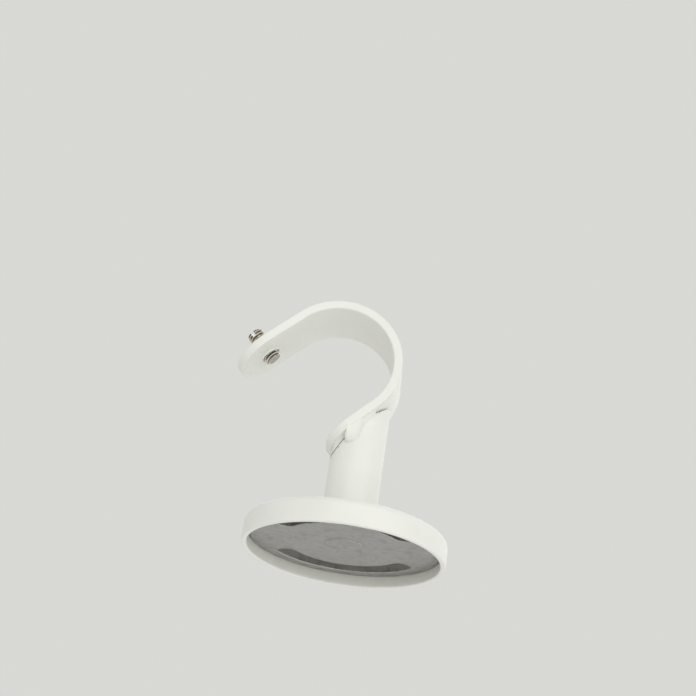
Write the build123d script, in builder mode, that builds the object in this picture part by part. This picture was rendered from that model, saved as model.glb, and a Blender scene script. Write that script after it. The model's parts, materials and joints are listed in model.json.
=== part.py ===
"""Open ceiling bracket for a round curtain pole.

A pressed cup sits against the ceiling over a slotted fixing plate. A stud in the plate
screws into a round stem, whose slanted top carries a hook bent from flat strip. A headless
screw in the tip of the hook holds the pole.

Millimetres. The origin is the centre of the cup's rim, +Z runs from the ceiling to the
hook and the pole lies along Y.
"""

import os
from math import cos, radians, sin, tan

from build123d import *

# Pole, and the hook that carries it
pole_diameter = 25.0
pole_clearance = 0.15
strap_width = 16.0
strap_thickness = 2.0
strap_edge_chamfer = 0.35
hook_angle = 45.0
bend_angle = 178.0
stem_leg_length = 13.0
stem_leg_corner = 6.0
tip_leg_length = 10.0

# Stem
stem_diameter = 12.0
stem_length = 24.0
stem_axis_to_bend = 4.5
stem_foot_chamfer = 0.3
stem_end_chamfer = 0.8

# Ceiling cup
cup_diameter = 45.0
cup_height = 5.8
cup_wall = 1.2
cup_bend_radius = 1.6
cup_rim_chamfer = 0.25

# Fixing plate inside the cup
plate_thickness = 2.0
plate_clearance = 0.2
plate_edge_chamfer = 0.25
slot_count = 2
slot_pitch_radius = 16.1
slot_width = 4.5
slot_span = 104.0
first_slot_angle = 90.0

# Stud that joins the plate to the stem
stud_diameter = 6.0
stud_grip = 10.0
stud_clearance = 0.05
stud_point_chamfer = 0.6
rivet_depth = 1.2
rivet_spread = 1.2
cup_hole_play = 0.2
bore_spare_depth = 2.0

# Headless screw through the tip of the hook
screw_diameter = 4.0
screw_length = 8.0
screw_inside = 1.4
screw_clearance = 0.05
screw_chamfer = 0.25
screw_slot_width = 0.8
screw_slot_depth = 1.3
screw_slot_turn = 65.0

# Welds in the corner between the stem and the strip
weld_length = 5.2
weld_width = 3.0
weld_end_chamfer = 0.8
weld_past_stem_axis = 2.4
weld_below_strip = 0.9

# Cutters reach this far past what they cut
cut_margin = 1.0

# Radii and heights that follow from the stack of plate, cup and stem
cup_radius = cup_diameter / 2
cup_inner_radius = cup_radius - cup_wall
roof_inside = cup_height - cup_wall
plate_radius = cup_inner_radius - plate_clearance
plate_face = roof_inside - plate_thickness
stem_radius = stem_diameter / 2
stud_radius = stud_diameter / 2
cup_hole_radius = stud_radius + cup_hole_play
screw_radius = screw_diameter / 2
tip_radius = strap_width / 2

# The hook lies in XZ: "out" runs along the stem leg to the mouth, "rise" from the stem to the tip.
# The bend stops short of a half circle, so the tip leg opens away from the stem leg a little.
hook_radius = pole_diameter / 2 + pole_clearance
hook_outer_radius = hook_radius + strap_thickness
out = Vector(-cos(radians(hook_angle)), 0, -sin(radians(hook_angle)))
rise = Vector(-sin(radians(hook_angle)), 0, cos(radians(hook_angle)))
opening = radians(180 - bend_angle)
tip_out = out * cos(opening) + rise * sin(opening)
tip_rise = rise * cos(opening) - out * sin(opening)
stem_top = Vector(0, 0, cup_height + stem_length)
hook_centre = stem_top - out * stem_axis_to_bend + rise * hook_outer_radius
screw_seat = hook_centre + tip_rise * hook_radius + tip_out * tip_leg_length

# Planes of the hook's section, the slanted stem end, the tip's inner face and the plate's face
hook_plane = Plane(origin=hook_centre, x_dir=out, z_dir=(0, -1, 0))
stem_end_plane = Plane(origin=stem_top, x_dir=out, z_dir=rise)
tip_plane = Plane(origin=screw_seat, x_dir=tip_out, z_dir=tip_rise)
plate_plane = Plane.XY.offset(plate_face)

os.makedirs("parts", exist_ok=True)

# Ceiling cup: one bent section turned about the stem's axis
with BuildPart() as ceiling_cup:
    with BuildSketch(Plane.XZ):
        with BuildLine():
            outside = FilletPolyline(
                (cup_hole_radius, cup_height),
                (cup_radius, cup_height),
                (cup_radius, 0),
                radius=cup_bend_radius,
            )
            inside = Polyline(
                (cup_hole_radius, roof_inside),
                (cup_inner_radius, roof_inside),
                (cup_inner_radius, 0),
            )
            Line(outside @ 0, inside @ 0)
            Line(outside @ 1, inside @ 1)
        make_face()
    revolve(axis=Axis.Z)
    rim = ceiling_cup.faces().filter_by(Axis.Z).sort_by(Axis.Z)[0]
    chamfer(rim.edges(), cup_rim_chamfer)

ceiling_cup.part.label = "ceiling_cup"
export_step(ceiling_cup.part, "parts/ceiling_cup.step")

# Fixing plate: curved slots let the hook be turned true before the ceiling screws are tightened
slot_line = CenterArc((0, 0), slot_pitch_radius, -slot_span / 2, slot_span)
with BuildPart() as fixing_plate:
    with BuildSketch(plate_plane):
        Circle(plate_radius)
        with PolarLocations(0, slot_count, start_angle=first_slot_angle):
            SlotArc(slot_line, slot_width, mode=Mode.SUBTRACT)
        Circle(stud_radius, mode=Mode.SUBTRACT)
    extrude(amount=plate_thickness)
    rim_edges = fixing_plate.edges().filter_by(GeomType.CIRCLE).sort_by(SortBy.RADIUS)[-2:]
    chamfer(rim_edges, plate_edge_chamfer)
    with Locations(plate_plane):
        Cone(
            stud_radius + rivet_spread,
            stud_radius,
            rivet_depth,
            align=(Align.CENTER, Align.CENTER, Align.MIN),
            mode=Mode.SUBTRACT,
        )

fixing_plate.part.label = "fixing_plate"
export_step(fixing_plate.part, "parts/fixing_plate.step")

# Stud: riveted flush in the plate, through the cup's hole and up into the stem
with BuildPart() as plate_stud:
    with BuildSketch(plate_plane):
        Circle(stud_radius)
    extrude(amount=cup_height - plate_face + stud_grip)
    chamfer(plate_stud.edges().sort_by(Axis.Z)[-1], stud_point_chamfer)
    with Locations(plate_plane):
        Cone(
            stud_radius + rivet_spread,
            stud_radius,
            rivet_depth,
            align=(Align.CENTER, Align.CENTER, Align.MIN),
        )

plate_stud.part.label = "plate_stud"
export_step(plate_stud.part, "parts/plate_stud.step")

# Stem: a round bar, cut on the slant at the top and bored at its foot
with BuildPart() as stem:
    with BuildSketch(Plane.XY.offset(cup_height)):
        Circle(stem_radius)
    extrude(amount=stem_length + stem_radius * tan(radians(hook_angle)) + cut_margin)
    split(bisect_by=stem_end_plane, keep=Keep.BOTTOM)
    chamfer(stem.edges().sort_by(Axis.Z)[0], stem_foot_chamfer)
    chamfer(stem.edges().filter_by(GeomType.ELLIPSE), stem_end_chamfer)
    with BuildSketch(Plane.XY.offset(cup_height)):
        Circle(stud_radius + stud_clearance)
    extrude(amount=stud_grip + bore_spare_depth, mode=Mode.SUBTRACT)

stem.part.label = "stem"
export_step(stem.part, "parts/stem.step")

# Hook: flat strip bent to a U, one leg on the stem and one with a round tip and a screw hole
with BuildPart() as hook_strap:
    with BuildSketch(hook_plane):
        with BuildLine():
            inner_bend = CenterArc((0, 0), hook_radius, 90, bend_angle)
            outer_bend = CenterArc((0, 0), hook_outer_radius, 90, bend_angle)
            tip_leg = (inner_bend % 1) * (tip_leg_length + tip_radius + cut_margin)
            Polyline(
                inner_bend @ 0,
                (stem_leg_length, hook_radius),
                (stem_leg_length, hook_outer_radius),
                outer_bend @ 0,
            )
            Polyline(
                inner_bend @ 1,
                inner_bend @ 1 + tip_leg,
                outer_bend @ 1 + tip_leg,
                outer_bend @ 1,
            )
        make_face()
    extrude(amount=strap_width / 2, both=True)
    stem_leg_end = hook_strap.faces().filter_by(Axis((0, 0, 0), out)).sort_by(Axis.Z)[0]
    fillet(stem_leg_end.edges().filter_by(Axis((0, 0, 0), rise)), stem_leg_corner)
    with BuildSketch(tip_plane.offset(-cut_margin)):
        Rectangle(
            tip_radius + 2 * cut_margin,
            strap_width + 2 * cut_margin,
            align=(Align.MIN, Align.CENTER),
        )
        Circle(tip_radius, mode=Mode.SUBTRACT)
    extrude(amount=strap_thickness + 2 * cut_margin, mode=Mode.SUBTRACT)
    leg_faces = hook_strap.faces().filter_by(GeomType.PLANE).filter_by(
        lambda face: abs(face.normal_at().dot(rise)) > 0.9
    )
    bend_faces = hook_strap.faces().filter_by(GeomType.CYLINDER).filter_by(
        lambda face: abs(face.axis_of_rotation.direction.Y) > 0.9
    )
    leg_edges = ShapeList(edge for face in leg_faces for edge in face.edges())
    bend_edges = ShapeList(edge for face in bend_faces for edge in face.edges())
    outline = (leg_edges - bend_edges) + (bend_edges - leg_edges)
    chamfer(outline, strap_edge_chamfer)
    with BuildSketch(tip_plane.offset(-cut_margin)):
        Circle(screw_radius + screw_clearance)
    extrude(amount=strap_thickness + 2 * cut_margin, mode=Mode.SUBTRACT)

hook_strap.part.label = "hook_strap"
export_step(hook_strap.part, "parts/hook_strap.step")

# Welds: a bead in each corner between the stem's side and the strip's underside
weld_middle = stem_top + out * weld_past_stem_axis - rise * weld_below_strip
bead_centre = weld_middle - Vector(0, stem_radius, 0)
with BuildPart() as weld_beads:
    with BuildSketch(Plane(origin=bead_centre, x_dir=(0, 1, 0), z_dir=out)):
        Circle(weld_width / 2)
    extrude(amount=weld_length / 2, both=True)
    chamfer(weld_beads.edges().filter_by(GeomType.CIRCLE), weld_end_chamfer)
    add(stem.part, mode=Mode.SUBTRACT)
    split(bisect_by=stem_end_plane, keep=Keep.BOTTOM)
    mirror(about=Plane.XZ)

weld_beads.part.label = "weld_beads"
export_step(weld_beads.part, "parts/weld_beads.step")

# Pole screw: headless, chamfered at both ends, slotted on the outside of the hook
with BuildPart() as pole_screw:
    with BuildSketch(tip_plane.offset(-screw_inside)):
        Circle(screw_radius)
    extrude(amount=screw_length)
    chamfer(pole_screw.edges().filter_by(GeomType.CIRCLE), screw_chamfer)
    with BuildSketch(tip_plane.offset(screw_length - screw_inside)):
        Rectangle(screw_diameter + cut_margin, screw_slot_width, rotation=screw_slot_turn)
    extrude(amount=-screw_slot_depth, mode=Mode.SUBTRACT)

pole_screw.part.label = "pole_screw"
export_step(pole_screw.part, "parts/pole_screw.step")
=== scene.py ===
import json
import math

import bmesh
import bpy
from mathutils import Matrix, Vector
from mathutils import noise as field

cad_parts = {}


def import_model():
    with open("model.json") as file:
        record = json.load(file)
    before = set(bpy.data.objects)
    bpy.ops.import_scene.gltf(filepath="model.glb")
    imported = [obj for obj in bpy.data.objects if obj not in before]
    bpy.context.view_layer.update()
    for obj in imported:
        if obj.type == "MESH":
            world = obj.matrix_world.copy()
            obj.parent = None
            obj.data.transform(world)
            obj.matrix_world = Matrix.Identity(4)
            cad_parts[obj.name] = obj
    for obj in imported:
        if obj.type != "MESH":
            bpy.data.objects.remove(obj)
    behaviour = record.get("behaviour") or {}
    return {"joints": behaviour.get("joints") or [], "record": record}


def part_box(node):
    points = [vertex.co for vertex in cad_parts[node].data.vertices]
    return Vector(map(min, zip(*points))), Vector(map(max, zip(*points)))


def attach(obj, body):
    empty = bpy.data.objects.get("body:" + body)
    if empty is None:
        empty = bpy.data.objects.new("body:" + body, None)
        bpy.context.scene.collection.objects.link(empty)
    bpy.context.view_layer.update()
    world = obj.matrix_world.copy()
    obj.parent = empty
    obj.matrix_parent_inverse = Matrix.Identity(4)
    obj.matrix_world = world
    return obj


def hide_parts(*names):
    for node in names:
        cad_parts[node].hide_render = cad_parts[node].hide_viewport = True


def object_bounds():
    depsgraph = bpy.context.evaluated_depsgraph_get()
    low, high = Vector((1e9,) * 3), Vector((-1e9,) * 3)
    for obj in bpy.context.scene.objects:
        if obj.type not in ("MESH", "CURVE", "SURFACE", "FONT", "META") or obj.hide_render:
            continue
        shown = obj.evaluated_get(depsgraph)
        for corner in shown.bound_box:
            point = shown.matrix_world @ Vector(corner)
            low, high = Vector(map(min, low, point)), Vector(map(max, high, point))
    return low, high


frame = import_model()
cad_low, cad_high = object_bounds()

MM = 0.001
QUARTER = math.pi / 2

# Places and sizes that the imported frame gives
mounts = {mount["name"]: mount for mount in frame["record"]["mounts"]}
hook_centre = Vector(mounts["pole_seat"]["pos_m"])
hook_radius = mounts["pole_seat"]["dims"]["r_mm"] * MM
feed = frame["joints"][0]
tip_rise = -Vector(feed["axis"]).normalized()
tip_out = Vector((-tip_rise.z, 0, tip_rise.x))
strap_low, strap_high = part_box("hook_strap")
strap_width = strap_high.y - strap_low.y
stem_low, stem_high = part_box("stem")
stem_radius = (stem_high.y - stem_low.y) / 2
cup_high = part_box("ceiling_cup")[1]
cup_radius = cup_high.x
cup_height = cup_high.z
plate_low, plate_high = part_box("fixing_plate")
stud_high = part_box("plate_stud")[1]

# Sizes of the hook, at or close to those of the solids, and of the thick paint round its screw hole
strap_thickness = 2.0 * MM
strap_edge_round = 0.35 * MM
hook_angle = math.radians(45)
stem_leg_length = 13.0 * MM
stem_leg_corner = 6.0 * MM
tip_leg_length = 10.0 * MM
tip_trim = 0.14 * MM
screw_hole_radius = 2.03 * MM
hole_bead_radius = 0.28 * MM

# Sizes of the stem, of the crack at its slanted end and of the weld metal between crack and strip
stem_foot_round = 0.3 * MM
stem_end_round = 0.25 * MM
stem_bore_radius = 3.05 * MM
stem_bore_depth = 12.0 * MM
stem_land_radius = 4.2 * MM
crack_gap = 0.22 * MM
crack_taper = 0.3
fill_height = 1.1 * MM
fill_flare = 4.4 * MM
fill_curl = 1.2
fill_least = 0.06
fill_bite = 0.28 * MM
fill_over_land = 1.04
fill_recess = stem_radius - fill_over_land * stem_land_radius
recess_start = 0.65
recess_fade = 0.35

# Sizes of the cup, and how much of its steel the paint covers; the cover falls deeper inside the cup, partly
# as thin paint and partly as painted shade
cup_wall = 1.2 * MM
cup_bend = 1.6 * MM
cup_inner_bend = 0.4 * MM
cup_rim_round = 0.4 * MM
cup_hole_radius = 3.2 * MM
cover_outside = 1.0
cover_rim = 0.92
# Lower cover deeper inside the cup: partly thin paint, partly painted shade
shaded_cover_wall_top = 0.42
shaded_cover_bend = 0.35
shaded_cover_roof = 0.2

# Sizes of the fixing plate and its riveted stud
plate_edge_round = 0.22 * MM
slot_radius = 16.1 * MM
slot_width = 4.5 * MM
slot_span = math.radians(104)
slot_angles = (math.radians(90), math.radians(270))
stud_radius = 3.0 * MM
stud_point = 0.6 * MM
rivet_radius = 4.2 * MM
rivet_overhang = 0.25 * MM
rivet_skirt = 0.05 * MM
rivet_depth = 1.2 * MM
rivet_crown = 0.35 * MM
rivet_crown_rim = 0.98
rivet_fullness = 0.8
rivet_flat_radius = 2.4 * MM
dimple_radii = (0.55 * MM, 0.85 * MM, 1.1 * MM)
dimple_depths = (0.22 * MM, 0.03 * MM, 0.0)
rivet_sway = 0.05
rivet_sway_size = 1.6 * MM

# Sizes of the welds that no row below gives
weld_over_edge = 0.6 * MM
weld_edge_fade = 0.4 * MM
weld_sink = 0.06 * MM
weld_sway = 0.07
weld_sway_size = 1.8 * MM

# Sizes of the pole screw, with the crest and the flank of its thread as shares of half a pitch
screw_radius = 1.98 * MM
screw_length = 8.0 * MM
screw_pitch = 0.7 * MM
thread_depth = 0.4 * MM
thread_crest = 0.14
thread_flank = 0.66
screw_inside = -feed["range_m"][0]
screw_slot_width = 0.8 * MM
screw_slot_depth = 1.3 * MM
screw_chamfer = 0.25 * MM
screw_slot_turn = math.radians(65)
# How far the screw's cut ends are darkened, on the same ramp as the thread's grooves
screw_end_darkening = 0.62

# Points this near to each other are one point, and slivers this narrow are dissolved
blank_join = 0.002 * MM
same_point = 0.0005 * MM
sliver_width = 0.004 * MM

# Tones, grain sizes, roughness and relief of the materials
paint_tones = ((0.795, 0.80, 0.74), (0.83, 0.834, 0.775))
paint_roughness = (0.30, 0.42)
cloud_size = 9 * MM
gloss_size = 2.2 * MM
peel_size = 1.1 * MM
paint_relief = 0.05 * MM
peel_strength = 0.35
nib_strength = 0.5
nib_tones = ((0.60, 0.60, 0.57), (0.66, 0.66, 0.63))
nib_spacing = 6 * MM
nib_size = 0.22 * MM
nib_core = 0.6
steel_tones = ((0.27, 0.265, 0.225), (0.43, 0.425, 0.375))
steel_grain = 1.6 * MM
steel_metallic = 0.35
plate_tones = ((0.31, 0.295, 0.275), (0.46, 0.455, 0.445))
plate_grain = 2.6 * MM
plate_roughness = (0.30, 0.50)
screw_tones = ((0.46, 0.41, 0.34), (0.86, 0.82, 0.75))
screw_grain = 0.9 * MM
screw_roughness = (0.18, 0.30)
# Painted shade in the screw's thread grooves: its tone, and the groove depths where it starts and where it is
# full
screw_groove_shade_tone = (0.18, 0.15, 0.125)
groove_shade_stops = (0.4, 0.95)
zinc_stops = (0.3, 0.52, 0.72)
zinc_dulling = 0.86
rolled_stretch = 0.06
rolled_grain = 0.25 * MM
rolled_relief = 0.02 * MM
rolled_strength = 0.4
rolled_shade = (0.80, 0.80, 0.80)
white = (1.0, 1.0, 1.0)

# Most of a noise lies between these values
noise_low = 0.3
noise_high = 0.7

# Stage, and lamps by azimuth from the front, elevation above the floor, strength and spread.
# Angles are in degrees
floor_half = 1.5
floor_drop = 0.02 * MM
floor_tones = ((0.80, 0.80, 0.775), (0.815, 0.815, 0.79))
floor_cloud = 60 * MM
ground_tone = (0.69, 0.69, 0.665)
sky_strength = 0.68
lamps = {
    "key": (16, 12, 0.86, 75),
    "right_fill": (105, -42, 0.42, 75),
    "left_fill": (-20, -45, 0.20, 75),
    "back": (160, 45, 0.50, 75),
    "glint": (25, -37, 0.12, 10),
}

# The photograph's view: its width and focal length in pixels, and the pixel that a point on the axis falls on
picture = 696.0
focal = 1650.0
pixels_per_mm = 4.3928
camera_elevation = math.radians(-24.854)
camera_azimuth = math.radians(3.422)
camera_roll = math.radians(8.642)
camera_aim = Vector((0, 0, 38 * MM))
aim_pixel = (365.72, 398.21)

# Directions of the hook, in the XZ plane, and places that follow from them
out = Vector((-math.cos(hook_angle), 0, -math.sin(hook_angle)))
rise = Vector((-math.sin(hook_angle), 0, math.cos(hook_angle)))
across = Vector((0, 1, 0))
bend_angle = math.pi - rise.angle(tip_rise)
bend_length = bend_angle * (hook_radius + strap_thickness / 2)
screw_seat = hook_centre + tip_rise * hook_radius + tip_out * tip_leg_length
underside = hook_centre - rise * (hook_radius + strap_thickness)
stem_top = Vector((0, 0, underside.z - underside.x * math.tan(hook_angle)))


# Helpers for meshes

def new_piece(name, mesh, material, node, body):
    """A piece that stands for a node of the frame and moves with its body."""
    piece = bpy.data.objects.new(name, mesh)
    bpy.context.scene.collection.objects.link(piece)
    mesh.materials.clear()
    mesh.materials.append(material)
    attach(piece, body)
    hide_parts(node)
    return piece


def smooth(mesh, limit):
    """Smooth shading, with edges over a limit in degrees left sharp."""
    mesh.polygons.foreach_set("use_smooth", [True] * len(mesh.polygons))
    mesh.set_sharp_from_angle(angle=math.radians(limit))


def weighted_normals(piece):
    """Keeps large flat faces flat beside their rounded edges."""
    modifier = piece.modifiers.new("weighted_normals", "WEIGHTED_NORMAL")
    modifier.weight = 100
    modifier.keep_sharp = True


def mesh_from(bm, name):
    """A mesh without points that lie on each other, with its faces turned outwards."""
    bmesh.ops.remove_doubles(bm, verts=bm.verts, dist=same_point)
    bmesh.ops.recalc_face_normals(bm, faces=bm.faces)
    mesh = bpy.data.meshes.new(name)
    bm.to_mesh(mesh)
    bm.free()
    return mesh


def line_points(start, end, steps):
    """Points on a straight line in a plane, both ends included."""
    shares = [k / steps for k in range(steps + 1)]
    return [(start[0] + (end[0] - start[0]) * s, start[1] + (end[1] - start[1]) * s) for s in shares]


def arc_points(centre, radius, start, end, steps):
    """Points on an arc in a plane, both ends included."""
    angles = [start + (end - start) * k / steps for k in range(steps + 1)]
    return [(centre[0] + radius * math.cos(a), centre[1] + radius * math.sin(a)) for a in angles]


def circle_points(centre, radius, steps):
    """Points once round a circle in a plane."""
    return arc_points(centre, radius, 0, math.tau, steps)[:-1]


def turned_ring(bm, radius, height, segments):
    """A ring of vertices about the stem's axis."""
    return [bm.verts.new((x, y, height)) for x, y in circle_points((0, 0), radius, segments)]


def ring_surface(bm, rings, closed_profile=False):
    """Quads between rings of vertices. An open profile gets a face at each end."""
    pairs = list(zip(rings, rings[1:]))
    if closed_profile:
        pairs.append((rings[-1], rings[0]))
    for ring, following in pairs:
        count = len(ring)
        for k in range(count):
            n = (k + 1) % count
            bm.faces.new((ring[k], ring[n], following[n], following[k]))
    if not closed_profile:
        bm.faces.new(rings[0])
        bm.faces.new(rings[-1])


# Helpers for materials

def empty_tree(owner):
    """The node tree of a material or a world, with nothing in it."""
    owner.use_nodes = True
    owner.node_tree.nodes.clear()
    return owner.node_tree


def node_material(name):
    """A node material with a shader joined to its output."""
    material = bpy.data.materials.new(name)
    tree = empty_tree(material)
    shader = tree.nodes.new("ShaderNodeBsdfPrincipled")
    output = tree.nodes.new("ShaderNodeOutputMaterial")
    tree.links.new(shader.outputs["BSDF"], output.inputs["Surface"])
    return material, tree, shader


def object_coordinates(tree):
    return tree.nodes.new("ShaderNodeTexCoord").outputs["Object"]


def attribute(tree, name):
    """A value that the mesh holds at each vertex."""
    node = tree.nodes.new("ShaderNodeAttribute")
    node.attribute_name = name
    return node.outputs["Fac"]


def noise(tree, vector, size, detail=2.0, rough=0.5):
    """Noise with features of about the given size in metres."""
    node = tree.nodes.new("ShaderNodeTexNoise")
    node.inputs["Scale"].default_value = 1 / size
    node.inputs["Detail"].default_value = detail
    node.inputs["Roughness"].default_value = rough
    tree.links.new(vector, node.inputs["Vector"])
    return node.outputs["Fac"]


def ramp(tree, value, stops):
    """A colour ramp with (position, colour) stops."""
    node = tree.nodes.new("ShaderNodeValToRGB")
    elements = node.color_ramp.elements
    while len(elements) < len(stops):
        elements.new(0.5)
    for element, (position, colour) in zip(elements, stops):
        element.position = position
        element.color = (*colour, 1)
    tree.links.new(value, node.inputs["Fac"])
    return node.outputs["Color"]


def noise_tones(tree, value, tones):
    """Two tones spread over a noise."""
    return ramp(tree, value, list(zip((noise_low, noise_high), tones)))


def map_range(tree, value, from_low, from_high, to_low, to_high):
    """A value moved from one range to another, clamped at its ends."""
    node = tree.nodes.new("ShaderNodeMapRange")
    node.inputs["From Min"].default_value = from_low
    node.inputs["From Max"].default_value = from_high
    node.inputs["To Min"].default_value = to_low
    node.inputs["To Max"].default_value = to_high
    tree.links.new(value, node.inputs["Value"])
    return node.outputs["Result"]


def colour_mix(tree, first, second, blend):
    """A node that blends two colour outputs."""
    node = tree.nodes.new("ShaderNodeMix")
    node.data_type = "RGBA"
    node.blend_type = blend
    tree.links.new(first, node.inputs["A"])
    tree.links.new(second, node.inputs["B"])
    return node


def mixed(tree, share, first, second):
    """The first colour where a share is 0, the second where it is 1."""
    node = colour_mix(tree, first, second, "MIX")
    tree.links.new(share, node.inputs["Factor"])
    return node.outputs["Result"]


def multiplied(tree, first, second):
    """The product of two colours."""
    node = colour_mix(tree, first, second, "MULTIPLY")
    node.inputs["Factor"].default_value = 1
    return node.outputs["Result"]


def bump(tree, height, distance, strength, normal=None):
    """A normal raised by a height, on top of another normal if one is given."""
    node = tree.nodes.new("ShaderNodeBump")
    node.inputs["Distance"].default_value = distance
    node.inputs["Strength"].default_value = strength
    tree.links.new(height, node.inputs["Height"])
    if normal is not None:
        tree.links.new(normal, node.inputs["Normal"])
    return node.outputs["Normal"]


def calculated(tree, operation, first, second):
    """The result of an operation on two values, clamped to 0 and 1."""
    node = tree.nodes.new("ShaderNodeMath")
    node.operation = operation
    node.use_clamp = True
    tree.links.new(first, node.inputs[0])
    tree.links.new(second, node.inputs[1])
    return node.outputs["Value"]


def mixed_shaders(tree, share, first, second):
    """The first shader where a share is 0, the second where it is 1."""
    node = tree.nodes.new("ShaderNodeMixShader")
    tree.links.new(share, node.inputs["Fac"])
    tree.links.new(first, node.inputs[1])
    tree.links.new(second, node.inputs[2])
    return node.outputs["Shader"]


# Materials

def paint_specks(tree, vector):
    """Small round nibs, one in some of the cells of a spacing."""
    cells = tree.nodes.new("ShaderNodeTexVoronoi")
    cells.inputs["Scale"].default_value = 1 / nib_spacing
    tree.links.new(vector, cells.inputs["Vector"])
    reach = nib_size / nib_spacing
    return map_range(tree, cells.outputs["Distance"], reach * nib_core, reach, 1, 0)


def paint_layers(tree, shader):
    """White powder coat: near-white cloud, orange peel, nibs. Returns its colour output."""
    vector = object_coordinates(tree)
    cloud = noise(tree, vector, cloud_size, detail=3)
    nibs = paint_specks(tree, vector)
    dusty = ramp(tree, cloud, list(zip((0, 1), nib_tones)))
    gloss = noise(tree, vector, gloss_size, detail=4)
    roughness = map_range(tree, gloss, noise_low, noise_high, *paint_roughness)
    tree.links.new(roughness, shader.inputs["Roughness"])
    peel = noise(tree, vector, peel_size, detail=2, rough=0.45)
    normal = bump(tree, peel, paint_relief, peel_strength)
    normal = bump(tree, nibs, paint_relief, nib_strength, normal)
    tree.links.new(normal, shader.inputs["Normal"])
    return mixed(tree, nibs, noise_tones(tree, cloud, paint_tones), dusty)


def white_paint():
    material, tree, shader = node_material("white_powder_coat")
    tree.links.new(paint_layers(tree, shader), shader.inputs["Base Color"])
    shader.inputs["Specular IOR Level"].default_value = 0.5
    return material


def cup_paint():
    """The same coat, thinning to bare grey steel inside the cup; the darkening deeper in is partly painted
    shade.
    """
    material, tree, shader = node_material("cup_coat_and_painted_shade")
    coat = paint_layers(tree, shader)
    # The cover falls deeper inside the cup, which darkens it: partly thin paint, partly painted shade
    cover = attribute(tree, "cover_and_shade")
    grain = noise(tree, object_coordinates(tree), steel_grain, detail=5, rough=0.65)
    steel = noise_tones(tree, grain, steel_tones)
    tree.links.new(mixed(tree, cover, steel, coat), shader.inputs["Base Color"])
    tree.links.new(map_range(tree, cover, 0, 1, steel_metallic, 0), shader.inputs["Metallic"])
    return material


def zinc(name, tones, grain, polish, groove_shade_tone=None):
    """Dull zinc plate: patches of passivation, a fine rolled grain along X, painted shade in a thread's
    grooves.
    """
    material, tree, shader = node_material(name)
    vector = object_coordinates(tree)
    dark, light = tones
    dull = tuple(zinc_dulling * c for c in light)
    patches = noise(tree, vector, grain, detail=5, rough=0.6)
    tint = ramp(tree, patches, list(zip(zinc_stops, (dark, light, dull))))
    stretch = tree.nodes.new("ShaderNodeMapping")
    stretch.inputs["Scale"].default_value = (rolled_stretch, 1, 1)
    tree.links.new(vector, stretch.inputs["Vector"])
    rolled = noise(tree, stretch.outputs["Vector"], rolled_grain, detail=3, rough=0.6)
    colour = multiplied(tree, tint, noise_tones(tree, rolled, (rolled_shade, white)))
    if groove_shade_tone is not None:
        # Painted shade, darker deeper in the thread's grooves; the screw's ends are darkened on the same ramp
        groove_shade = ramp(tree, attribute(tree, "groove"), list(zip(groove_shade_stops, (white, groove_shade_tone))))
        colour = multiplied(tree, colour, groove_shade)
    tree.links.new(colour, shader.inputs["Base Color"])
    shader.inputs["Metallic"].default_value = 1
    tree.links.new(map_range(tree, patches, noise_low, noise_high, *polish), shader.inputs["Roughness"])
    tree.links.new(bump(tree, rolled, rolled_relief, rolled_strength), shader.inputs["Normal"])
    return material


# The hook: a flat blank with a round tip and a hole, bent over the pole's curve

def bent(point):
    """Where a point of the flat blank goes: x along the strip, y across, z out from the inner face."""
    along, side, depth = point
    radius = hook_radius + depth
    if along < 0:
        place = -rise * radius - out * along
    elif along < bend_length:
        turn = bend_angle * along / bend_length
        place = -(rise * math.cos(turn) + out * math.sin(turn)) * radius
    else:
        place = tip_rise * radius + tip_out * (along - bend_length)
    return hook_centre + place + across * side


def blank_outline():
    """The blank's outline, from the tip round to the square end with its rounded corners."""
    half = strap_width / 2
    tip_middle = bend_length + tip_leg_length - tip_trim
    corner = -stem_leg_length + stem_leg_corner
    inset = half - stem_leg_corner
    return (
        arc_points((tip_middle, 0), half, -QUARTER, QUARTER, 64)
        + arc_points((corner, inset), stem_leg_corner, QUARTER, 2 * QUARTER, 12)
        + arc_points((corner, -inset), stem_leg_corner, 2 * QUARTER, 3 * QUARTER, 12)
    )


def flat_blank(loops, thickness, edge_round):
    """A flat sheet from z = 0 up, with rounded edges: one outline, then holes."""
    curve = bpy.data.curves.new("blank", "CURVE")
    curve.dimensions = "2D"
    curve.fill_mode = "BOTH"
    curve.extrude = thickness / 2 - edge_round
    curve.bevel_depth = edge_round
    curve.bevel_resolution = 3
    curve.offset = -edge_round
    for points in loops:
        spline = curve.splines.new("POLY")
        spline.points.add(len(points) - 1)
        for point, (x, y) in zip(spline.points, points):
            point.co = (x, y, 0, 1)
        spline.use_cyclic_u = True
    blank = bpy.data.objects.new("blank", curve)
    bpy.context.scene.collection.objects.link(blank)
    bm = bmesh.new()
    bm.from_mesh(bpy.data.meshes.new_from_object(blank))
    bpy.data.objects.remove(blank)
    bmesh.ops.remove_doubles(bm, verts=bm.verts, dist=blank_join)
    bmesh.ops.translate(bm, verts=bm.verts, vec=(0, 0, thickness / 2))
    return bm


def hole_bead(bm, face_centre):
    """A ring of thick paint round the screw hole, half sunk in a face of the tip."""
    around = 72
    steps = 14
    rings = []
    for k in range(around):
        turn = math.tau * k / around
        outward = tip_out * math.cos(turn) + across * math.sin(turn)
        middle = face_centre + outward * (screw_hole_radius + hole_bead_radius)
        section = circle_points((0, 0), hole_bead_radius, steps)
        rings.append([bm.verts.new(middle + outward * x + tip_rise * z) for x, z in section])
    ring_surface(bm, rings, closed_profile=True)


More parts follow.
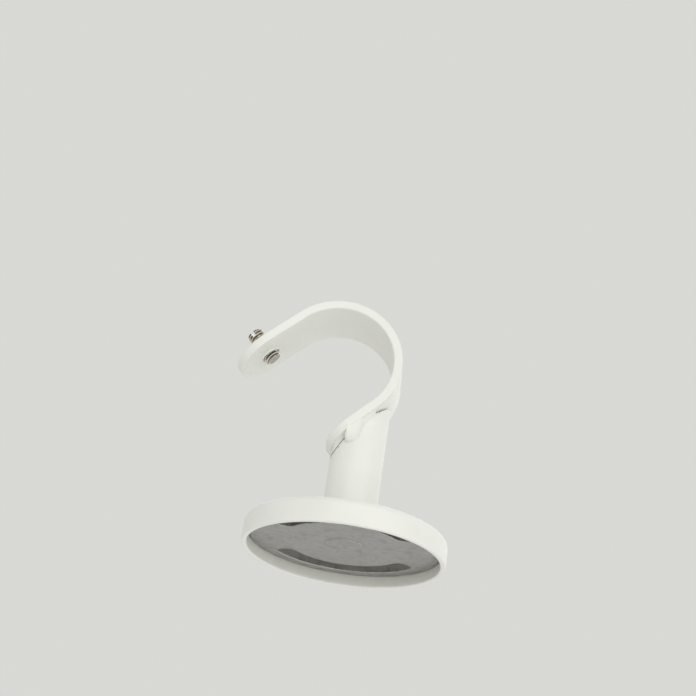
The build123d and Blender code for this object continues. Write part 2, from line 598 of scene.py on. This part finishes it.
def hook_strip(material):
    hole = circle_points((bend_length + tip_leg_length, 0), screw_hole_radius, 48)
    bm = flat_blank([blank_outline(), hole], strap_thickness, strap_edge_round)
    cuts = 96
    for k in range(cuts + 1):
        bmesh.ops.bisect_plane(
            bm,
            geom=bm.verts[:] + bm.edges[:] + bm.faces[:],
            plane_co=(bend_length * k / cuts, 0, 0),
            plane_no=(1, 0, 0),
        )
    for vertex in bm.verts:
        vertex.co = bent(vertex.co)
    hole_bead(bm, screw_seat)
    hole_bead(bm, screw_seat + tip_rise * strap_thickness)
    mesh = mesh_from(bm, "hook_strip")
    smooth(mesh, 35)
    piece = new_piece("hook_strip", mesh, material, "hook_strap", "bracket")
    weighted_normals(piece)


# The stem: a round bar with a bored, rounded foot and a slanted top

def slanted_ring(bm, radius, segments, gap=0.0, fill=0.0, flare=0.0, recess=0.0):
    """A ring below the strip by a gap and a fill, flared at the slant's low end, recessed at its high end."""
    ring = turned_ring(bm, radius, stem_top.z, segments)
    for vertex in ring:
        low_share = (1 - vertex.co.x / radius) / 2
        fill_share = fill_least + (1 - fill_least) * low_share ** 2
        side_share = abs(vertex.co.y / radius) ** 3
        high_share = min(max((recess_start - low_share) / recess_fade, 0), 1)
        widened = 1 + (flare * fill_share * side_share - recess * high_share) / radius
        vertex.co.x *= widened
        vertex.co.y *= widened
        drop = gap * (1 - crack_taper * (1 - low_share)) + fill * fill_share
        vertex.co.z += vertex.co.x * math.tan(hook_angle) - drop / math.cos(hook_angle)
    return ring


def weld_fill(bm, segments):
    """Rings of the weld metal from the crack up to the strip; the last one is sunk in the strip."""
    steps = 6
    rings = []
    for k in range(steps + 1):
        share = k / steps
        height = fill_height * (1 - share)
        flare = fill_flare * share ** fill_curl
        rings.append(slanted_ring(bm, stem_radius, segments, fill=height, flare=flare, recess=fill_recess))
    rings.append(slanted_ring(bm, stem_radius, segments, gap=-fill_bite, flare=flare, recess=fill_recess))
    return rings


def stem_bar(material):
    """The bar; weld metal fills the wedge between its end and the strip, above a fine crack."""
    segments = 160
    foot = stem_low.z
    foot_round = arc_points(
        (stem_radius - stem_foot_round, foot + stem_foot_round), stem_foot_round, -QUARTER, 0, 4
    )
    profile = [(stem_bore_radius, foot + stem_bore_depth), (stem_bore_radius, foot)] + foot_round
    profile.append((stem_radius, foot + 2 * stem_foot_round))
    bm = bmesh.new()
    rings = [turned_ring(bm, radius, height, segments) for radius, height in profile]
    below_lip = crack_gap + 3 * stem_end_round
    rings.append(slanted_ring(bm, stem_radius, segments, gap=below_lip, fill=fill_height))
    lip = slanted_ring(bm, stem_radius, segments, gap=crack_gap, fill=fill_height)
    crack_foot = slanted_ring(bm, stem_land_radius, segments, gap=crack_gap, fill=fill_height)
    crack_top = slanted_ring(bm, stem_land_radius, segments, fill=fill_height)
    rings += [lip, crack_foot, crack_top] + weld_fill(bm, segments)
    ring_surface(bm, rings)
    lip_vertices = set(lip)
    bmesh.ops.bevel(
        bm,
        geom=[edge for edge in bm.edges if all(vertex in lip_vertices for vertex in edge.verts)],
        offset=stem_end_round,
        offset_type="OFFSET",
        segments=5,
        profile=0.5,
        affect="EDGES",
    )
    mesh = mesh_from(bm, "stem_bar")
    smooth(mesh, 50)
    piece = new_piece("stem_bar", mesh, material, "stem", "bracket")
    weighted_normals(piece)


# The cup: one pressed section turned about the stem's axis

def covered(points, first, last):
    """(radius, height, paint cover) points, with the cover graded from first to last."""
    step = (last - first) / (len(points) - 1)
    return [(radius, height, first + step * k) for k, (radius, height) in enumerate(points)]


def cup_section():
    """(radius, height, paint cover) points along the top, down the wall, round the rim and back inside;
    inside, the cover falls towards the roof, partly as painted shade.
    """
    inner_radius = cup_radius - cup_wall
    roof = cup_height - cup_wall
    top_edge = cup_radius - cup_bend
    wall_top = cup_height - cup_bend
    inner_top = roof - cup_inner_bend
    outside = line_points((cup_hole_radius, cup_height), (top_edge, cup_height), 9)[:-1]
    outside += arc_points((top_edge, wall_top), cup_bend, QUARTER, 0, 14)
    outside += line_points((cup_radius, wall_top), (cup_radius, cup_rim_round), 8)[1:-1]
    outside += arc_points((cup_radius - cup_rim_round, cup_rim_round), cup_rim_round, 0, -QUARTER, 6)
    rim_centre = (inner_radius + cup_rim_round, cup_rim_round)
    rim = arc_points(rim_centre, cup_rim_round, -QUARTER, -2 * QUARTER, 6)
    wall = line_points((inner_radius, cup_rim_round), (inner_radius, inner_top), 10)
    bend = arc_points((inner_radius - cup_inner_bend, inner_top), cup_inner_bend, 0, QUARTER, 5)
    return (
        covered(outside, cover_outside, cover_outside)
        + covered(rim, cover_outside, cover_rim)
        + covered(wall, cover_rim, shaded_cover_wall_top)[1:]
        + covered(bend, shaded_cover_bend, shaded_cover_bend)[1:]
        + [(cup_hole_radius, roof, shaded_cover_roof)]
    )


def cup_shell(material):
    segments = 240
    bm = bmesh.new()
    # Paint cover at each vertex, lower deep inside the cup, partly as painted shade
    cover = bm.verts.layers.float.new("cover_and_shade")
    rings = []
    for radius, height, paint in cup_section():
        ring = turned_ring(bm, radius, height, segments)
        for vertex in ring:
            vertex[cover] = paint
        rings.append(ring)
    ring_surface(bm, rings, closed_profile=True)
    mesh = mesh_from(bm, "cup_shell")
    smooth(mesh, 50)
    piece = new_piece("cup_shell", mesh, material, "ceiling_cup", "bracket")
    weighted_normals(piece)


# The fixing plate: punched sheet with two curved slots, and the stud riveted into it

def arc_slot(middle):
    """Outline of a slot along an arc about the origin."""
    half = slot_width / 2
    first = middle - slot_span / 2
    last = middle + slot_span / 2

    def cap(angle, start):
        centre = (slot_radius * math.cos(angle), slot_radius * math.sin(angle))
        return arc_points(centre, half, start, start + math.pi, 16)

    return (
        arc_points((0, 0), slot_radius + half, first, last, 48)[1:-1]
        + cap(last, last)
        + arc_points((0, 0), slot_radius - half, last, first, 48)[1:-1]
        + cap(first, first + math.pi)
    )


def slotted_plate(material):
    outline = circle_points((0, 0), plate_high.x, 200)
    hole = circle_points((0, 0), rivet_radius - plate_edge_round, 64)
    loops = [outline, hole] + [arc_slot(angle) for angle in slot_angles]
    bm = flat_blank(loops, plate_high.z - plate_low.z, plate_edge_round)
    bmesh.ops.translate(bm, verts=bm.verts, vec=(0, 0, plate_low.z))
    mesh = mesh_from(bm, "slotted_plate")
    smooth(mesh, 35)
    piece = new_piece("slotted_plate", mesh, material, "fixing_plate", "bracket")
    weighted_normals(piece)


def riveted_stud(material):
    """The stud: a hammered crown with a centre dimple, and a plain shank in place of its thread."""
    segments = 96
    crown_steps = 8
    face = plate_low.z
    crown_top = face - rivet_crown
    reach = rivet_radius + rivet_overhang
    top = [(radius, crown_top + depth) for radius, depth in zip(dimple_radii, dimple_depths)]
    top.append((rivet_flat_radius, face - rivet_crown * rivet_crown_rim))
    edge = []
    for k in range(1, crown_steps + 1):
        turn = QUARTER * k / crown_steps
        radius = rivet_flat_radius + (reach - rivet_flat_radius) * math.sin(turn)
        edge.append((radius, face - rivet_crown * rivet_crown_rim * math.cos(turn) ** rivet_fullness))
    edge.append((reach, face + rivet_skirt))
    shank = [
        (stud_radius, face + rivet_depth),
        (stud_radius, stud_high.z - stud_point),
        (stud_radius - stud_point, stud_high.z),
    ]
    bm = bmesh.new()
    rings = [turned_ring(bm, radius, height, segments) for radius, height in top + edge + shank]
    for ring in rings[len(top):-len(shank)]:
        for vertex in ring:
            sway = field.noise(vertex.co / rivet_sway_size) * rivet_sway
            vertex.co.x *= 1 + sway
            vertex.co.y *= 1 + sway
    ring_surface(bm, rings)
    mesh = mesh_from(bm, "riveted_stud")
    smooth(mesh, 40)
    new_piece("riveted_stud", mesh, material, "plate_stud", "bracket")


# The welds: on each side a lump in the corner of stem and strip, drawn out into a hollow tail.
# Rows: angle round the stem in degrees, leg on the strip and leg on the stem in millimetres, and
# how hollow the section is (1 is round, 2 is straight, more is hollow)
weld_rows = [
    (121.5, 0.05, 0.05, 1.2),
    (121.0, 0.60, 0.90, 1.2),
    (119.5, 1.20, 1.75, 1.2),
    (116.5, 1.90, 2.45, 1.2),
    (111.5, 2.40, 3.05, 1.2),
    (105.0, 2.55, 3.65, 1.25),
    (98.0, 2.50, 4.10, 1.3),
    (92.5, 2.40, 4.15, 1.4),
    (88.5, 2.30, 3.65, 1.55),
    (85.0, 2.20, 2.85, 1.8),
    (81.5, 2.15, 2.20, 2.1),
    (76.0, 2.05, 1.70, 2.4),
    (70.0, 1.95, 1.45, 2.5),
    (63.5, 1.60, 1.25, 2.5),
    (60.5, 1.00, 0.90, 2.4),
    (59.0, 0.10, 0.10, 2.4),
]


def weld_row(share):
    """A row at a share of the bead's length, on a smooth curve through the rows."""
    last = len(weld_rows) - 1
    place = share * last
    k = min(int(place), last - 1)
    t = place - k
    four = [weld_rows[min(max(k + step, 0), last)] for step in (-1, 0, 1, 2)]
    row = []
    for a, b, c, d in zip(*four):
        square = 2 * a - 5 * b + 4 * c - d
        cube = 3 * b - a - 3 * c + d
        row.append(0.5 * (2 * b + (c - a) * t + square * t ** 2 + cube * t ** 3))
    return row


def weld_ring(bm, side, share):
    """One section of the bead: a curve from the strip to the stem, closed in the corner."""
    degrees, strip_leg, stem_leg, hollow = weld_row(share)
    angle = side * math.radians(degrees)
    radial = Vector((math.cos(angle), math.sin(angle), 0))
    corner = radial * stem_radius + stem_top + Vector((0, 0, stem_radius * radial.x * math.tan(hook_angle)))
    corner += (rise - radial) * weld_sink
    along_strip = (radial - rise * radial.dot(rise)).normalized()
    to_edge = (strap_width / 2 - weld_sink - abs(corner.y)) / abs(along_strip.y)
    on_strip = min(strip_leg * MM, to_edge)
    over_edge = min(max((strip_leg * MM - to_edge) / weld_edge_fade + 1, 0), 1)
    lift = rise * weld_over_edge * over_edge
    steps = 18
    ring = [bm.verts.new(corner), bm.verts.new(corner + lift)]
    for k in range(steps + 1):
        turn = QUARTER * k / steps
        reach = along_strip * on_strip * math.cos(turn) ** hollow
        drop = Vector((0, 0, -stem_leg * MM * math.sin(turn) ** hollow))
        sway = 1 + weld_sway * math.sin(2 * turn) * field.noise((corner + reach + drop) / weld_sway_size)
        ring.append(bm.verts.new(corner + lift * math.cos(turn) ** 2 + (reach + drop) * sway))
    return ring


def weld_lumps(material):
    bm = bmesh.new()
    sections = 104
    for side in (-1, 1):
        ring_surface(bm, [weld_ring(bm, side, k / sections) for k in range(sections + 1)])
    mesh = mesh_from(bm, "weld_lumps")
    smooth(mesh, 80)
    new_piece("weld_lumps", mesh, material, "weld_beads", "bracket")


# The pole screw: a cut thread, chamfered ends and a screwdriver slot

def thread(angle, height):
    """Radius of the thread's surface, with flats at crest and root, and the share of its depth."""
    phase = (height / screw_pitch - angle / math.tau) % 1.0
    wave = abs(2 * phase - 1)
    share = min(1.0, max(0.0, (wave - thread_crest) / thread_flank))
    end_gap = min(height, screw_length - height)
    limit = screw_radius - max(0.0, screw_chamfer - end_gap)
    return min(screw_radius - thread_depth * share, limit), share


def cut_by_box(mesh, name, size, matrix):
    """The mesh with a box cut out of it, without the slivers that the cut leaves."""
    target = bpy.data.objects.new(name, mesh)
    bm = bmesh.new()
    bmesh.ops.create_cube(bm, size=1, matrix=matrix @ Matrix.Diagonal((*size, 1)))
    cutter = bpy.data.objects.new(name + "_cutter", mesh_from(bm, name + "_cutter"))
    for item in (target, cutter):
        bpy.context.scene.collection.objects.link(item)
    modifier = target.modifiers.new("slot", "BOOLEAN")
    modifier.operation = "DIFFERENCE"
    modifier.solver = "EXACT"
    modifier.object = cutter
    graph = bpy.context.evaluated_depsgraph_get()
    bm = bmesh.new()
    bm.from_mesh(bpy.data.meshes.new_from_object(target.evaluated_get(graph)))
    bpy.data.objects.remove(target)
    bpy.data.objects.remove(cutter)
    bmesh.ops.dissolve_degenerate(bm, edges=bm.edges, dist=sliver_width)
    bmesh.ops.triangulate(bm, faces=[face for face in bm.faces if len(face.verts) > 4])
    bmesh.ops.dissolve_degenerate(bm, edges=bm.edges, dist=sliver_width)
    return mesh_from(bm, name)


def threaded_rod():
    """The screw along Z, before its slot; each vertex holds how deep in the groove it lies."""
    segments = 72
    rows = 200
    bm = bmesh.new()
    groove = bm.verts.layers.float.new("groove")
    rings = []
    for row in range(rows + 1):
        height = screw_length * row / rows
        ring = []
        for k in range(segments):
            angle = math.tau * k / segments
            radius, share = thread(angle, height)
            vertex = bm.verts.new((radius * math.cos(angle), radius * math.sin(angle), height))
            vertex[groove] = share if 0 < row < rows else 0.0
            ring.append(vertex)
        rings.append(ring)
    ends = [turned_ring(bm, screw_radius - thread_depth, height, segments) for height in (0.0, screw_length)]
    # The ends get a fixed value on the groove ramp, which darkens them
    for vertex in ends[0] + ends[1]:
        vertex[groove] = screw_end_darkening
    ring_surface(bm, [ends[0]] + rings + [ends[1]])
    return mesh_from(bm, "pole_screw_thread")


def pole_screw(material):
    slot_place = Matrix.Translation((0, 0, screw_length)) @ Matrix.Rotation(screw_slot_turn, 4, "Z")
    slot_size = (3 * screw_radius, screw_slot_width, 2 * screw_slot_depth)
    mesh = cut_by_box(threaded_rod(), "pole_screw_thread", slot_size, slot_place)
    turn = Matrix((tip_out, tip_rise.cross(tip_out), tip_rise)).transposed().to_4x4()
    mesh.transform(Matrix.Translation(screw_seat - tip_rise * screw_inside) @ turn)
    smooth(mesh, 32)
    new_piece("pole_screw_thread", mesh, material, "pole_screw", "pole_screw")


# Stage, light and camera

def floor():
    """A pale floor, seen only from above, that lets the light from below through."""
    level = cad_low.z - floor_drop
    signs = ((-1, -1), (1, -1), (1, 1), (-1, 1))
    mesh = bpy.data.meshes.new("floor")
    mesh.from_pydata([(x * floor_half, y * floor_half, level) for x, y in signs], [], [(0, 1, 2, 3)])
    material = bpy.data.materials.new("pale_floor")
    tree = empty_tree(material)
    diffuse = tree.nodes.new("ShaderNodeBsdfDiffuse")
    cloud = noise(tree, object_coordinates(tree), floor_cloud, detail=3)
    tree.links.new(noise_tones(tree, cloud, floor_tones), diffuse.inputs["Color"])
    clear = tree.nodes.new("ShaderNodeBsdfTransparent")
    path = tree.nodes.new("ShaderNodeLightPath")
    geometry = tree.nodes.new("ShaderNodeNewGeometry")
    seen = calculated(tree, "SUBTRACT", path.outputs["Is Camera Ray"], geometry.outputs["Backfacing"])
    surface = mixed_shaders(tree, seen, clear.outputs["BSDF"], diffuse.outputs["BSDF"])
    output = tree.nodes.new("ShaderNodeOutputMaterial")
    tree.links.new(surface, output.inputs["Surface"])
    mesh.materials.append(material)
    piece = bpy.data.objects.new("floor", mesh)
    bpy.context.scene.collection.objects.link(piece)


def world():
    """Soft white light all round, with a pale ground behind the object, also in reflections."""
    sky = bpy.data.worlds.new("studio")
    tree = empty_tree(sky)
    light = tree.nodes.new("ShaderNodeBackground")
    light.inputs["Color"].default_value = (*white, 1)
    light.inputs["Strength"].default_value = sky_strength
    ground = tree.nodes.new("ShaderNodeBackground")
    ground.inputs["Color"].default_value = (*ground_tone, 1)
    path = tree.nodes.new("ShaderNodeLightPath")
    seen = calculated(tree, "MAXIMUM", path.outputs["Is Camera Ray"], path.outputs["Is Glossy Ray"])
    seen = calculated(tree, "MAXIMUM", seen, path.outputs["Is Transmission Ray"])
    surface = mixed_shaders(tree, seen, light.outputs["Background"], ground.outputs["Background"])
    output = tree.nodes.new("ShaderNodeOutputWorld")
    tree.links.new(surface, output.inputs["Surface"])
    bpy.context.scene.world = sky


def direction(azimuth, elevation):
    """The direction towards an azimuth from the front and an elevation above the floor."""
    level = math.cos(elevation)
    return Vector((math.sin(azimuth) * level, -math.cos(azimuth) * level, math.sin(elevation)))


def soft_light(name, azimuth, elevation, strength, spread):
    """A far lamp of a wide spread."""
    lamp = bpy.data.lights.new(name, "SUN")
    lamp.angle = math.radians(spread)
    lamp.energy = strength
    towards = direction(math.radians(azimuth), math.radians(elevation))
    item = bpy.data.objects.new(name, lamp)
    item.rotation_mode = "QUATERNION"
    item.rotation_quaternion = (-towards).to_track_quat("-Z", "Y")
    bpy.context.scene.collection.objects.link(item)


def camera():
    """The photograph's view: from below, with the object leaning to the right."""
    distance = focal / pixels_per_mm * MM
    back = direction(camera_azimuth, camera_elevation)
    level_right = Vector((0, 0, 1)).cross(back).normalized()
    level_up = back.cross(level_right)
    right = level_right * math.cos(camera_roll) + level_up * math.sin(camera_roll)
    up = level_up * math.cos(camera_roll) - level_right * math.sin(camera_roll)
    aside = right * (aim_pixel[0] - picture / 2) + up * (picture / 2 - aim_pixel[1])
    place = camera_aim + back * distance - aside * (distance / focal)
    data = bpy.data.cameras.new("camera")
    data.lens = data.sensor_width * focal / picture
    data.clip_start = 0.01
    data.clip_end = 20
    item = bpy.data.objects.new("camera", data)
    turn = Matrix((right, up, back)).transposed().to_4x4()
    item.matrix_world = Matrix.Translation(place) @ turn
    bpy.context.scene.collection.objects.link(item)
    bpy.context.scene.camera = item


paint = white_paint()
hook_strip(paint)
stem_bar(paint)
weld_lumps(paint)
cup_shell(cup_paint())
plate_zinc = zinc("plate_zinc", plate_tones, plate_grain, plate_roughness)
slotted_plate(plate_zinc)
riveted_stud(plate_zinc)
pole_screw(zinc("screw_zinc", screw_tones, screw_grain, screw_roughness, screw_groove_shade_tone))

floor()
world()
for lamp_name, setting in lamps.items():
    soft_light(lamp_name, *setting)
camera()

bpy.context.scene.view_settings.view_transform = "Standard"
